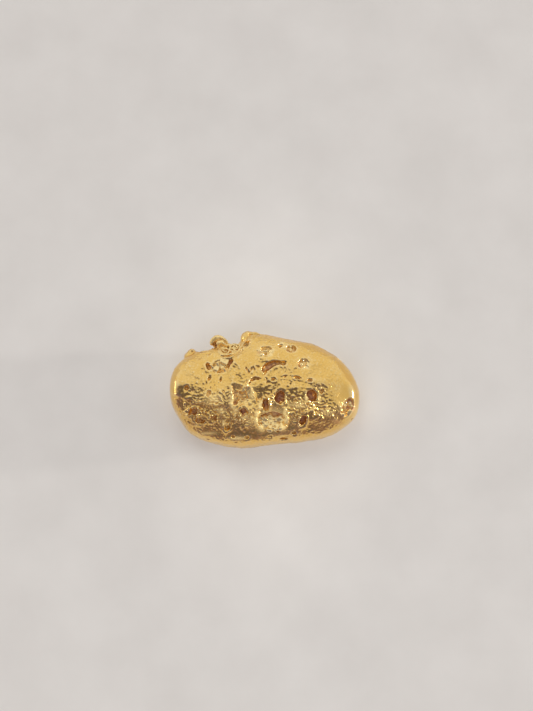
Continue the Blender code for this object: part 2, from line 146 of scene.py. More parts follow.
def move_points(obj, co):
    obj.data.vertices.foreach_set("co", co.astype(np.float32).ravel())
    obj.data.update()


def tree_of(obj):
    """Search tree of a mesh, to find places on its surface."""
    return BVHTree.FromPolygons([v.co for v in obj.data.vertices],
                                [tuple(p.vertices) for p in obj.data.polygons])


def smoothstep(x):
    x = np.clip(x, 0.0, 1.0)
    return x * x * (3.0 - 2.0 * x)


def bump(co, x, y, reach_x, reach_y):
    """A soft round mound, seen from above: 1 in its middle, 0 far away."""
    return np.exp(-((co[:, 0] - x) / reach_x) ** 2 - ((co[:, 1] - y) / reach_y) ** 2)


# %% [markdown]
# ## The body
# Pulling a sphere about with proportional editing would give a lump, but not this contour, so
# the sphere's points are laid out by a rule: the direction of a point picks its place on the
# contour, and its height picks how far it has come in from there towards the crown.

# %% Contour and profile
def closed_curve(points, steps=24):
    """Smooth closed curve through the control points."""
    p = np.array(points, float)
    out = []
    for i in range(len(p)):
        a, b, c, d = p[i - 1], p[i], p[(i + 1) % len(p)], p[(i + 2) % len(p)]
        for t in np.linspace(0.0, 1.0, steps, endpoint=False):
            out.append(0.5 * (2 * b + (c - a) * t + (2 * a - 5 * b + 4 * c - d) * t * t
                              + (3 * b - a - 3 * c + d) * t ** 3))
    return np.array(out)


def lay_out_body(co):
    """Points of a unit sphere moved to the nugget's contour and profile."""
    co = co / np.linalg.norm(co, axis=1)[:, None]
    curve = closed_curve(OUTLINE)
    angle = np.arctan2(curve[:, 1], curve[:, 0])
    reach = np.hypot(curve[:, 0], curve[:, 1])
    order = np.argsort(angle)
    theta = np.arctan2(co[:, 1], co[:, 0])
    rim = np.interp(theta, angle[order], reach[order], period=2.0 * pi)
    up = co[:, 2] >= 0.0
    off_left = (theta - LEFT_TURN + pi) % (2.0 * pi) - pi
    blunt = LEFT_BLUNT * np.exp(-(off_left / LEFT_SPREAD) ** 2)
    power = np.where(up, TOP_POWER + blunt, BOTTOM_POWER)
    spread = np.hypot(co[:, 0], co[:, 1]) ** (2.0 / power)
    rise = np.abs(co[:, 2]) ** (2.0 / power)
    pole = np.where(up[:, None], CROWN, (0.0, 0.0))
    xy = pole * (1.0 - spread)[:, None]
    xy = xy + np.stack([rim * np.cos(theta), rim * np.sin(theta)], 1) * spread[:, None]
    z = np.where(up, RIM_Z + (TOP_Z - RIM_Z) * rise, RIM_Z - (RIM_Z - BOTTOM_Z) * rise)
    return np.stack([xy[:, 0], xy[:, 1], z], 1)


bpy.ops.object.select_all(action="DESELECT")
bpy.ops.mesh.primitive_ico_sphere_add(subdivisions=7, radius=1.0)
nugget = bpy.context.object
nugget.name = "nugget_metal"
move_points(nugget, lay_out_body(points_of(nugget)))
print("body faces:", len(nugget.data.polygons))

# %% [markdown]
# ## Ledge, terrace, swells and hollows
# The right lobe lies over the left one and ends in a soft ledge, which runs out towards the
# front, and the left lobe has a lower terrace along its front. A fold follows the back edge on
# the right. These and the swells are low and wide, so they are pushed into the points by
# smooth steps and mounds. Each fades out towards the contour, which must keep its line.

# %% Low relief of the crown
LEDGE = [(-0.95, 2.75), (-1.12, 2.25), (-1.35, 1.7), (-1.7, 1.1), (-1.87, 0.44),
         (-2.0, -0.26), (-1.9, -0.95), (-1.6, -1.6), (-1.2, -2.4)]
LEDGE_DROP = 0.17
LEDGE_WIDTH = 0.34
LEDGE_END = (-1.1, -0.3)    # the ledge has run out at the first, is whole from the second
TERRACE = [(-4.6, -0.85), (-3.7, -1.32), (-2.95, -1.44), (-2.2, -1.42), (-1.6, -1.62)]
TERRACE_DROP = 0.13
TERRACE_WIDTH = 0.22
FOLD = [(4.42, 0.8), (3.99, 1.31), (3.31, 1.82), (2.64, 2.12), (1.9, 2.26)]
FOLD_DROP = 0.05
FOLD_WIDTH = 0.1

# x, y, reach in x, reach in y, height
SWELLS = [
    (-3.1, 0.5, 1.3, 0.9, 0.04), (1.0, 1.3, 1.6, 0.8, 0.05), (-3.3, -0.45, 1.15, 0.55, 0.09),
    (-2.2, -0.75, 0.6, 0.55, 0.09), (-0.75, -0.5, 0.85, 0.4, 0.06), (2.85, -1.2, 0.45, 0.45, -0.02),
    (-0.32, -0.88, 0.28, 0.36, -0.12), (0.4, -2.0, 0.7, 0.58, -0.1), (1.3, -0.4, 0.85, 0.2, 0.06),
    (-3.8, -1.9, 0.6, 0.4, 0.02), (-2.3, -2.1, 0.6, 0.3, -0.05), (2.6, -1.75, 0.7, 0.35, 0.05),
    (0.3, -1.05, 0.28, 0.38, 0.08), (-0.8, 0.3, 0.3, 0.6, 0.03), (4.7, -0.6, 0.3, 0.75, 0.12),
    (2.9, 0.6, 0.6, 0.5, -0.03), (-1.6, -2.62, 2.0, 0.34, -0.16), (2.35, -2.36, 1.45, 0.32, -0.11),
    (-3.4, -2.3, 0.9, 0.34, -0.15), (-4.66, -0.3, 0.28, 0.85, 0.08), (4.0, -1.85, 0.6, 0.35, -0.04),
    (4.15, -0.85, 0.45, 0.5, -0.05), (-1.0, -1.55, 0.46, 0.36, 0.11),
    (-2.55, -1.32, 0.75, 0.24, 0.08), (-2.1, -1.92, 0.42, 0.24, 0.08), (3.3, -1.45, 0.5, 0.3, 0.07),
    (2.75, -0.12, 0.52, 0.28, 0.13), (-4.25, -0.15, 0.5, 0.24, 0.05),
    (0.45, -1.45, 0.6, 0.34, 0.08), (2.0, -1.35, 0.5, 0.25, 0.08), (2.9, -1.95, 0.5, 0.3, 0.03),
    (-2.85, -1.05, 0.22, 0.18, 0.06), (2.0, -1.8, 0.6, 0.32, 0.05), (1.6, -0.68, 0.4, 0.28, 0.07)]


def side_distance(co, line):
    """Distance from a line seen from above, positive on the right of its run."""
    xy = co[:, :2]
    best = np.full(len(xy), 1e9)
    sign = np.ones(len(xy))
    for (ax, ay), (bx, by) in zip(line[:-1], line[1:]):
        a, d = np.array([ax, ay]), np.array([bx - ax, by - ay])
        rel = xy - a
        t = np.clip(rel @ d / (d @ d), 0.0, 1.0)
        off = rel - t[:, None] * d
        dist = np.hypot(off[:, 0], off[:, 1])
        side = np.sign(rel[:, 1] * d[0] - rel[:, 0] * d[1])
        closer = dist < best
        best[closer] = dist[closer]
        sign[closer] = side[closer]
    return -best * sign


def crown_relief(co):
    """Height that the ledge, the terrace and the swells add to each point."""
    up = co[:, 2] >= RIM_Z
    fade = smoothstep((co[:, 2] - RIM_Z - 0.15) / 0.9) * up
    left = side_distance(co, LEDGE)
    start, whole = LEDGE_END
    height = -LEDGE_DROP * smoothstep(left / LEDGE_WIDTH + 0.5) * np.exp(
        -np.clip(left, 0.0, None) / 3.0) * smoothstep((co[:, 1] - start) / (whole - start))
    front = side_distance(co, TERRACE)
    near = np.exp(-np.clip(front, 0.0, None) / 0.9) * smoothstep((left + 0.1) / 0.4)
    height -= TERRACE_DROP * smoothstep(front / TERRACE_WIDTH + 0.5) * near
    outer = side_distance(co, FOLD)
    height -= FOLD_DROP * smoothstep(outer / FOLD_WIDTH + 0.5) * bump(co, 3.3, 1.8, 1.2, 0.8)
    for x, y, reach_x, reach_y, tall in SWELLS:
        height += tall * bump(co, x, y, reach_x, reach_y)
    return fade * height


co = points_of(nugget)
co[:, 2] += crown_relief(co)
move_points(nugget, co)
print("crown relief done, highest point:", round(float(co[:, 2].max()), 2))

# %% [markdown]
# ## Dents of the flanks and underside
# Broad dents are pressed into the flanks and the underside, never outwards, so that the
# contour stays the widest line. A noise function gives their depth: values under a limit
# count, gently at first, and the rest are left alone.

# %% Broad dents
def low_side(co):
    """Most on the flanks and underside, a little on the crown, none at the contour."""
    below = smoothstep((RIM_Z - 0.1 - co[:, 2]) / 0.6)
    above = 0.2 * smoothstep((co[:, 2] - RIM_Z - 0.3) / 0.9)
    return below + above


def dent(obj, depth, size, seed, where):
    """Presses noise-shaped dents into the surface along its normals."""
    co = points_of(obj)
    shift = Vector((seed * 3.1, seed * 1.7, seed * 2.3))
    value = np.array([noise.noise(Vector(c) / size + shift) for c in co])
    below = np.maximum(0.05 - value, 0.0)
    value = -depth * below * below / (below + 0.12) * where(co)
    move_points(obj, co + normals_of(obj) * value[:, None])


dent(nugget, 0.55, 1.5, 5, low_side)
dent(nugget, 0.26, 0.7, 8, low_side)
print("dented body, mm:", [round(float(v), 2) for v in np.ptp(points_of(nugget), axis=0)])

# %% [markdown]
# ## Curl, threads and beads of the torn corner
# Behind the left lobe the metal is torn. A thick wire curls up and over with metal behind it,
# thin threads lie heaped and looped beside it, and a bead stands at the far corner. A thread
# is drawn as a chain of points, extruded one by one, and the Skin modifier clothes the chain in
# a tube that is thicker or thinner at each point. Threads that lie on the metal are given as
# seen from above, and a ray dropped on the body finds their height.

# %% Threads by extruding a point
def thread(path, radii):
    """A worm-like thread of metal through the points of its path."""
    bpy.ops.object.select_all(action="DESELECT")
    bpy.ops.mesh.primitive_plane_add(size=0.01, location=path[0])
    obj = bpy.context.object
    bpy.ops.object.mode_set(mode="EDIT")
    bpy.ops.mesh.select_all(action="SELECT")
    bpy.ops.mesh.merge(type="CENTER")
    for here, there in zip(path[:-1], path[1:]):
        step = [b - a for a, b in zip(here, there)]
        bpy.ops.mesh.extrude_region_move(TRANSFORM_OT_translate={"value": step})
    bpy.ops.object.mode_set(mode="OBJECT")
    obj.modifiers.new("Skin", "SKIN")
    for point, radius in zip(obj.data.skin_vertices[0].data, radii):
        point.radius = (radius, radius)
    bpy.ops.object.modifier_apply(modifier="Skin")
    modify(obj, "SUBSURF", levels=2, render_levels=2)
    return obj


def ball(place, half, turn=(0.0, 0.0, 0.0), fineness=3):
    """A rounded lump with these half sizes, turned by these angles."""
    bpy.ops.mesh.primitive_ico_sphere_add(subdivisions=fineness, radius=1.0,
                                          location=place, rotation=turn, scale=half)
    return bpy.context.object


FAR = 9.0       # where rays start, well outside the metal
UP = Vector((0.0, 0.0, 1.0))
BITE = ((-3.3, 2.63, 1.6), (0.8, 0.92, 1.9))    # hollow between bead and curl
bite = ball(*BITE, fineness=5)
modify(nugget, "BOOLEAN", operation="DIFFERENCE", solver="EXACT", object=bite)
bpy.data.objects.remove(bite, do_unlink=True)
body_tree = tree_of(nugget)


def laid(path, lift, tree):
    """Points seen from above, put this far above the surface that a ray finds."""
    out = []
    for x, y in path:
        place = tree.ray_cast(Vector((x, y, FAR)), Vector((0.0, 0.0, -1.0)))[0]
        out.append((x, y, place.z + lift))
    return out


# %% Curl, walls and lumps
CURL = [(-2.84, 2.22, 1.98), (-2.9, 2.42, 2.0), (-2.8, 2.6, 2.04), (-2.58, 2.69, 2.08),
        (-2.34, 2.64, 2.12), (-2.19, 2.48, 2.14), (-2.07, 2.28, 2.18), (-2.02, 2.1, 2.2)]
CURL_RADII = [0.13, 0.16, 0.16, 0.15, 0.15, 0.14, 0.14, 0.13]
CURL_LOOP = [(-2.54, 2.1, 2.06), (-2.5, 2.3, 2.1), (-2.37, 2.42, 2.13), (-2.24, 2.36, 2.16),
             (-2.2, 2.2, 2.2)]
RIDGES = [  # walls that stand round the front bowl and the cavity: path, radii, lift
    ([(-0.16, -1.0), (-0.25, -1.3), (-0.33, -1.58)], [0.06, 0.11, 0.08], 0.02),
    ([(-0.34, -1.66), (-0.44, -1.8), (-0.5, -1.94), (-0.49, -2.08), (-0.43, -2.22),
      (-0.33, -2.34), (-0.2, -2.46), (-0.06, -2.54)],
     [0.08, 0.17, 0.1, 0.16, 0.09, 0.16, 0.09, 0.11], 0.05),
    ([(0.26, -1.14), (0.28, -1.4), (0.2, -1.62)], [0.05, 0.08, 0.05], 0.0),
    ([(1.02, -1.4), (1.12, -1.58), (1.2, -1.82)], [0.05, 0.1, 0.09], 0.02),
    ([(1.12, -1.8), (1.16, -1.94), (1.17, -2.08), (1.12, -2.22), (1.04, -2.36), (0.92, -2.48)],
     [0.16, 0.09, 0.17, 0.09, 0.15, 0.08], 0.05),
    ([(-0.62, -0.66), (-0.62, -0.88), (-0.54, -1.08)], [0.06, 0.08, 0.05], 0.02),
    ([(-1.76, -0.52), (-1.75, -0.8), (-1.7, -1.08)], [0.05, 0.07, 0.06], 0.0),
    ([(-1.0, -0.42), (-0.93, -0.24), (-0.86, -0.06), (-0.72, 0.08), (-0.52, 0.16),
      (-0.34, 0.13), (-0.28, 0.02)], [0.04, 0.06, 0.05, 0.06, 0.05, 0.06, 0.04], 0.03)]
LUMPS = [   # place, half sizes
    ((-3.96, 1.84, 1.86), (0.25, 0.25, 0.27)), ((-4.13, 1.66, 1.72), (0.26, 0.27, 0.36)),
    ((-2.46, 2.36, 1.8), (0.36, 0.34, 0.42)), ((-2.06, 2.14, 1.88), (0.32, 0.26, 0.3)),
    ((-1.62, 2.14, 1.94), (0.34, 0.22, 0.26)), ((-0.93, 2.6, 1.95), (0.4, 0.45, 0.44)),
    ((-0.6, 2.62, 1.97), (0.46, 0.39, 0.42))]

grown = [thread(CURL, CURL_RADII), thread(CURL_LOOP, [0.08] * len(CURL_LOOP))]
grown += [thread(laid(path, lift, body_tree), radii) for path, radii, lift in RIDGES]
grown += [ball(place, half) for place, half in LUMPS]
print("pieces grown on the body:", len(grown))

# %% [markdown]
# ## Fusing them to the body
# Lying over each other is not enough, because the metal grew as one piece. A voxel remesh
# keeps only the outside of everything that overlaps, and a little smoothing rounds the
# creases, as wear does.

# %% Fuse and round
nugget = join([nugget] + grown, "nugget_metal")
modify(nugget, "REMESH", mode="VOXEL", voxel_size=FUSE_VOXEL)
modify(nugget, "SMOOTH", factor=0.5, iterations=3)
uncut = tree_of(nugget)
print("fused, faces:", len(nugget.data.polygons))

# %% [markdown]
# ## Where the pits are
# Round and slit-like pits, most with a low lip of metal round them. Each is given by its
# place seen from above, its half length and half width, its depth, its turn and the height
# of its lip.

# %% Table of pits, and their lips
PITS = [
    (2.48, -0.8, 0.33, 0.26, 0.34, -60, 0.04), (0.78, -0.92, 0.36, 0.24, 0.28, 78, 0.07),
    (0.03, -1.34, 0.35, 0.16, 0.3, 95, 0.04), (2.0, -2.07, 0.3, 0.16, 0.28, 75, 0.1),
    (-1.13, -1.72, 0.23, 0.2, 0.28, 90, 0.09), (-3.82, -1.62, 0.28, 0.15, 0.2, 20, 0.08),
    (-3.43, -2.06, 0.24, 0.15, 0.2, 0, 0.08), (-4.16, -0.4, 0.14, 0.11, 0.14, 70, 0.03),
    (-3.02, 0.78, 0.22, 0.12, 0.2, 110, 0.03), (-1.88, 1.04, 0.22, 0.15, 0.32, 30, 0.0),
    (0.68, -2.5, 0.16, 0.12, 0.22, 80, 0.03), (-1.69, -2.87, 0.09, 0.08, 0.16, 0, 0.02),
    (-0.95, -2.92, 0.14, 0.1, 0.14, 0, 0.03), (0.28, -2.85, 0.13, 0.08, 0.14, 0, 0.03),
    (1.01, -2.91, 0.24, 0.11, 0.28, 0, 0.02), (1.54, -2.66, 0.14, 0.12, 0.16, 0, 0.04),
    (-2.01, -2.44, 0.16, 0.13, 0.14, 30, 0.09), (-2.95, 0.11, 0.16, 0.07, 0.12, 80, 0.03),
    (-2.36, 0.03, 0.12, 0.06, 0.12, 80, 0.03), (2.38, 0.0, 0.16, 0.08, 0.12, 0, 0.02),
    (2.99, -0.57, 0.12, 0.09, 0.1, 30, 0.03), (-0.56, 2.6, 0.11, 0.05, 0.12, 30, 0.0),
    (-1.24, 1.9, 0.06, 0.06, 0.12, 0, 0.0), (-2.72, -1.98, 0.2, 0.12, 0.14, 10, 0.07),
    (-2.98, -0.75, 0.16, 0.1, 0.12, 60, 0.04), (0.43, 0.01, 0.12, 0.07, 0.1, 0, 0.03),
    (1.7, 0.13, 0.22, 0.06, 0.1, -10, 0.03), (0.0, 0.36, 0.15, 0.06, 0.14, 60, 0.0),
    (1.06, 0.18, 0.14, 0.04, 0.08, 20, 0.02), (-3.93, 1.9, 0.09, 0.07, 0.14, 0, 0.0),
    (-2.72, 2.25, 0.22, 0.13, 0.32, 70, 0.0), (-2.4, 2.55, 0.06, 0.04, 0.1, 0, 0.0),
    (-2.09, 2.35, 0.15, 0.06, 0.22, 120, 0.0), (-1.55, -1.2, 0.16, 0.1, 0.24, 60, 0.02),
    (-0.89, -0.49, 0.06, 0.05, 0.1, 0, 0.05), (-0.62, 0.04, 0.13, 0.05, 0.12, 12, 0.0),
    (-0.8, -0.2, 0.09, 0.05, 0.11, 60, 0.0), (-0.98, -0.1, 0.08, 0.04, 0.08, 70, 0.0),
    (1.52, 1.95, 0.05, 0.05, 0.06, 0, 0.0), (1.95, 1.94, 0.05, 0.05, 0.06, 0, 0.0),
    (2.6, 1.66, 0.05, 0.04, 0.05, 0, 0.0), (-4.1, 1.26, 0.06, 0.05, 0.06, 0, 0.01)]


def raise_lips(obj):
    """Low ring of metal pushed up round each pit."""
    co = points_of(obj)
    top = smoothstep((co[:, 2] - RIM_Z + 0.2) / 0.5)
    for x, y, a, b, _, turn, lip in PITS:
        c, s = cos(radians(turn)), sin(radians(turn))
        dx, dy = co[:, 0] - x, co[:, 1] - y
        ring = np.hypot((dx * c + dy * s) / (a + 0.07), (-dx * s + dy * c) / (b + 0.07))
        co[:, 2] += lip * top * np.exp(-((ring - 1.0) / 0.28) ** 2)
    move_points(obj, co)


raise_lips(nugget)
print("pits in the table:", len(PITS))

# %% [markdown]
# ## Cutters
# A pit is cut by a rounded body that stands on the surface, square to it and turned as the
# table says. The place is found by dropping a ray on the metal from above, from the side or
# from below. All cutters are joined and remeshed to one closed body, since the Boolean
# wants no overlaps, and then displaced a little so that no pit has too clean an edge.

# %% Tables of bowls, steps, cracks and hidden pits
VUGS = [    # bowls lined with crystals: the last two are how many, and their size
    (-2.36, 0.8, 0.52, 0.38, 0.28, 20, 17, 0.18), (0.07, 1.6, 0.4, 0.34, 0.26, 180, 14, 0.17),
    (0.93, 2.02, 0.24, 0.28, 0.22, 0, 6, 0.16), (1.4, 1.82, 0.32, 0.28, 0.32, 230, 5, 0.15),
    (2.06, 0.91, 0.34, 0.3, 0.26, 180, 12, 0.15), (4.42, -1.3, 0.55, 0.34, 0.32, 250, 10, 0.15),
    (-1.06, 2.14, 0.32, 0.25, 0.3, 0, 8, 0.13)]
TORN = [    # hollows that the threads lie over: x, y, half length, half width, depth, turn
    (-2.12, 1.76, 0.36, 0.34, 0.18, 0), (-1.66, 2.02, 0.3, 0.34, 0.2, 0),
    (-1.96, 1.37, 0.42, 0.06, 0.07, 6), (-1.88, 2.1, 0.14, 0.2, 0.18, 0)]
BOWL = ((0.4, -2.12), (0.82, 0.61, 0.3), 0.07)    # front bowl: place, half sizes, lift
BOWL_GRAINS, BOWL_GRAIN = 60, 0.12     # rounded grains in it, and their half size
STEPS = [   # tilted cubes that cut the stepped cavity: x, y, size, lift, turn, tilts
    (-1.52, -0.42, 0.46, 0.14, 10, 22, -6), (-1.42, -0.86, 0.44, 0.04, 8, -10, 4),
    (-1.1, -0.86, 0.4, 0.06, 24, -8, -8), (-1.62, -0.68, 0.26, -0.02, 60, 6, 10),
    (-0.98, -0.54, 0.16, 0.02, 40, -10, 8), (-1.24, -0.4, 0.14, 0.02, 15, 10, 0)]
STEP_CRYSTALS = [
    (-0.86, -0.44, 0.17), (-1.04, -0.36, 0.14), (-1.14, -0.58, 0.13), (-0.9, -0.7, 0.15),
    (-1.3, -0.98, 0.12), (-1.46, -0.82, 0.11)]
GROOVE = [  # curved groove: x, y, half width, depth
    (-0.02, 0.59, 0.17, 0.22), (0.12, 0.71, 0.2, 0.27), (0.3, 0.83, 0.18, 0.27),
    (0.48, 0.91, 0.15, 0.24), (0.66, 0.94, 0.12, 0.21), (0.84, 0.93, 0.11, 0.18),
    (1.0, 0.91, 0.13, 0.16)]
CRACKS = [  # thin cracks seen from above: path, half width
    ([(-0.84, 2.78), (-0.56, 2.84), (-0.34, 2.82), (-0.14, 2.74)], 0.045),
    ([(-1.03, 0.68), (-0.93, 0.5), (-0.84, 0.37), (-0.76, 0.5), (-0.7, 0.62)], 0.035),
    ([(-0.65, 0.73), (-0.58, 0.58), (-0.54, 0.48)], 0.03), ([(-0.46, 0.76), (-0.3, 0.68)], 0.03),
    ([(-3.66, 1.76), (-3.46, 1.71), (-3.22, 1.74), (-3.0, 1.84)], 0.03),
    ([(-0.72, -0.02), (-0.52, 0.08), (-0.3, 0.04)], 0.05),
    ([(-2.68, 2.42), (-2.54, 2.49), (-2.38, 2.53), (-2.24, 2.46), (-2.14, 2.34)], 0.035),
    ([(-2.44, 2.14), (-2.4, 2.26), (-2.32, 2.3), (-2.26, 2.2)], 0.03)]
SIDE_PITS = [   # direction from the middle in degrees, height, half size, depth
    (20, 1.9, 0.17, 0.16), (38, 1.2, 0.22, 0.2), (55, 1.7, 0.14, 0.14), (66, 1.1, 0.26, 0.24),
    (82, 1.6, 0.18, 0.16), (98, 0.9, 0.2, 0.2), (128, 1.1, 0.24, 0.22), (150, 1.0, 0.22, 0.18),
    (170, 1.3, 0.16, 0.14), (188, 0.9, 0.24, 0.2), (206, 1.1, 0.15, 0.14), (236, 0.8, 0.2, 0.16),
    (262, 0.7, 0.16, 0.14), (286, 0.9, 0.22, 0.18), (318, 0.8, 0.18, 0.16), (342, 1.0, 0.24, 0.2)]
UNDER_PITS = [  # x, y, half length, half width, depth, turn
    (-3.4, 0.6, 0.4, 0.26, 0.26, 30), (-2.5, -1.6, 0.3, 0.22, 0.24, 70),
    (-3.9, -0.9, 0.2, 0.16, 0.16, 0), (-1.2, 1.9, 0.34, 0.24, 0.26, 10),
    (0.8, -2.2, 0.36, 0.2, 0.22, 160), (2.6, -1.4, 0.28, 0.24, 0.22, 40),
    (3.7, 0.3, 0.36, 0.26, 0.26, 110), (2.7, 1.6, 0.24, 0.2, 0.2, 0),
    (1.0, 2.1, 0.2, 0.16, 0.18, 60), (-0.6, -0.5, 0.3, 0.2, 0.22, 20),
    (1.3, 0.6, 0.22, 0.18, 0.18, 80), (-2.2, 0.9, 0.18, 0.14, 0.16, 0)]


print("lined bowls:", len(VUGS), "pits out of sight:", len(SIDE_PITS) + len(UNDER_PITS))


# %% Standing a cutter on the surface
def upright(place, normal, turn):
    """Frame on the surface: Z along the normal, turned from +X by this many degrees."""
    z = normal.normalized()
    x = Vector((cos(radians(turn)), sin(radians(turn)), 0.0))
    x = (x - x.dot(z) * z).normalized()
    return Matrix.Translation(place) @ Matrix((x, z.cross(x), z)).transposed().to_4x4()


def met(start, way, turn):
    """Frame where a ray first meets the uncut metal."""
    place, normal, _, _ = uncut.ray_cast(start, way)
    return upright(place, normal, turn)


def from_above(x, y, turn):
    return met(Vector((x, y, FAR)), -UP, turn)


def from_below(x, y, turn):
    return met(Vector((x, y, -FAR)), UP, turn)


def from_side(angle, height):
    out = Vector((cos(radians(angle)), sin(radians(angle)), 0.0))
    return met(out * FAR + height * UP, -out, 0.0)


def between(stops, shares):
    """Rows that lie these shares of the way from each stop of a path to the next."""
    for here, there in zip(stops[:-1], stops[1:]):
        for t in shares:
            yield [a + (b - a) * t for a, b in zip(here, there)]


def dig(frame_, half, fineness=3):
    """A rounded cutter standing in this frame."""
    return ball(frame_.to_translation(), half, frame_.to_euler(), fineness)


# %% All the cutters
cutters = [dig(from_above(x, y, turn), (a, b, depth))
           for x, y, a, b, depth, turn, *_ in PITS + VUGS + TORN]
cutters += [dig(from_side(angle, height), (half, half * 0.75, depth))
            for angle, height, half, depth in SIDE_PITS]
cutters += [dig(from_below(x, y, turn), (a, b, depth))
            for x, y, a, b, depth, turn in UNDER_PITS]
for x, y, width, deep in between(GROOVE, (0.0, 0.5, 1.0)):
    cutters.append(dig(from_above(x, y, 0.0), (width, width, deep)))
for path, width in CRACKS:
    for x, y in between(path, (0.0, 0.33, 0.67, 1.0)):
        cutters.append(dig(from_above(x, y, 0.0), (width * 1.4, width * 1.4, width * 3.0), 2))
for x, y, size, lift, turn, tilt, lean in STEPS:
    place = (from_above(x, y, turn) @ Matrix.Translation((0.0, 0.0, lift))
             @ Euler((radians(tilt), radians(lean), 0.0)).to_matrix().to_4x4())
    bpy.ops.mesh.primitive_cube_add(size=size, location=place.to_translation(),
                                    rotation=place.to_euler())
    cutters.append(bpy.context.object)
(bowl_x, bowl_y), bowl_half, bowl_lift = BOWL
bowl_place = from_above(bowl_x, bowl_y, 0.0).to_translation() + Vector((0.0, 0.0, bowl_lift))
cutters.append(ball(bowl_place, bowl_half))
print("cutters:", len(cutters))

# %% [markdown]
# ## Pores
# The metal is pricked all over, most of all on the front of the left lobe and in the middle.
# The pores are scattered by a seeded draw, and a chance by zone decides which are kept.

# %% Scattered pores
PORE_TRIES = 420
PORE_RADIUS = (0.028, 0.075)
dice = random.Random(7)


def pore_chance(x, y):
    """How likely a pore is here, seen from above."""
    front_left = 0.8 if x < -1.2 and y < -0.2 else 0.0
    middle = 0.55 if -1.2 <= x < 3.4 and y < 0.3 else 0.0
    return max(front_left, middle, 0.12)


def scatter_pores():
    pores = []
    for _ in range(PORE_TRIES):
        x, y = dice.uniform(-5.0, 5.0), dice.uniform(-3.1, 3.0)
        radius, chance = dice.uniform(*PORE_RADIUS), dice.random()
        under = dice.random() < 0.25
        cast = uncut.ray_cast(Vector((x, y, -FAR if under else FAR)),
                              Vector((0.0, 0.0, 1.0 if under else -1.0)))
        if cast[0] is None or chance > (0.6 if under else pore_chance(x, y)):
            continue
        turn = dice.uniform(0.0, 180.0)
        stretch = dice.uniform(1.0, 1.9)
        pores.append(dig(upright(cast[0], cast[1], turn), (radius * stretch, radius, radius), 2))
    return pores


cutters += scatter_pores()
print("cutters with pores:", len(cutters))

# %% Cut them all
CUTTER_VOXEL = 0.03
cutter = join(cutters, "pit_cutter")
modify(cutter, "REMESH", mode="VOXEL", voxel_size=CUTTER_VOXEL)
uneven = bpy.data.textures.new("uneven", "CLOUDS")
uneven.noise_scale = 0.16
modify(cutter, "DISPLACE", texture=uneven, texture_coords="LOCAL", strength=0.07, mid_level=0.5)
modify(nugget, "BOOLEAN", operation="DIFFERENCE", solver="MANIFOLD", object=cutter)
bpy.data.objects.remove(cutter, do_unlink=True)
print("faces after cutting:", len(nugget.data.polygons))

# %% [markdown]
# ## Crystals in the bowls
# Gold crystals are cubes and octahedra. Those of one bowl are turned nearly alike, so that
# they flash together, and about a third are turned every way. They are strewn over the floor
# of each bowl and sunk into it. The open bowl at the front holds rounded grains instead.

# %% Strew the crystals
FLASH = Vector((0.521, -0.265, 0.804))    # the face that mirrors the high window
UPWARD = Vector((0.12, 0.1, 0.98))       # the face that mirrors the pale back half


def lattice(toward):
    """The way the crystals of one bowl are turned, with one cube face this way."""
    return toward.to_track_quat("Z", "Y") @ Quaternion((0.0, 0.0, 1.0), dice.uniform(0.0, 1.6))


def crystal(place, size, grown_as, strays=0.3):
    """A cube or octahedron, mostly turned as the others of its bowl are."""
    spin = Euler([radians(dice.gauss(0.0, 7.0)) for _ in range(3)]).to_quaternion()
    if dice.random() < strays:
        spin = Euler([dice.uniform(0.0, 2.0 * pi) for _ in range(3)]).to_quaternion()
    turn = (grown_as @ spin).to_euler()
    if dice.random() < 0.7:
        bpy.ops.mesh.primitive_cube_add(size=size, location=place, rotation=turn)
    else:
        bpy.ops.mesh.primitive_uv_sphere_add(segments=4, ring_count=2, radius=0.75 * size,
                                             location=place, rotation=turn)
    return bpy.context.object


crystals = []
for x, y, a, b, depth, turn, count, size in VUGS:
    bowl, grown_as = from_above(x, y, turn), lattice(UPWARD if a > 0.5 else FLASH)
    for _ in range(count):
        angle, out = dice.uniform(0.0, 2.0 * pi), sqrt(dice.random()) * 0.85
        deep = -depth * sqrt(1.0 - out * out) + 0.25 * size
        spot = bowl @ Vector((a * out * cos(angle), b * out * sin(angle), deep))
        crystals.append(crystal(spot, size * dice.uniform(0.6, 1.6), grown_as))
for _ in range(BOWL_GRAINS):
    angle, out = dice.uniform(0.0, 2.0 * pi), sqrt(dice.random()) * 0.9
    spot = bowl_place + Vector((bowl_half[0] * out * cos(angle),
                                bowl_half[1] * out * sin(angle),
                                0.5 * BOWL_GRAIN - bowl_half[2] * sqrt(1.0 - out * out)))
    if spot.y < bowl_y + 0.34:
        size = BOWL_GRAIN * dice.uniform(0.6, 1.2)
        crystals.append(ball(spot, (size * dice.uniform(1.0, 2.2), size, size),
                             (0.0, 0.0, dice.uniform(0.0, pi)), 2))
for x, y, size in STEP_CRYSTALS:
    crystals.append(crystal(from_above(x, y, 0.0).to_translation() - Vector((0.0, 0.0, 0.1)),
                            size, grown_as))
print("crystals:", len(crystals))

# %% [markdown]
# ## Threads over the torn hollows
# The heaped threads of the torn corner bridge the hollows just cut, so they come after the
# cutting. Some are loops, some lie like worms, and their ends run into the metal.

# %% Lay the threads
def ring_path(x, y, radius, start, sweep=330.0, inner=None):
    """A turn round a place, or a spiral that ends at the inner radius."""
    inner = radius if inner is None else inner
    count = max(8, int(sweep / 45.0) + 1)
    out = []
    for i in range(count):
        t = radians(start + sweep * i / (count - 1))
        r = radius + (inner - radius) * i / (count - 1)
        out.append((x + r * cos(t), y + r * sin(t)))
    return out


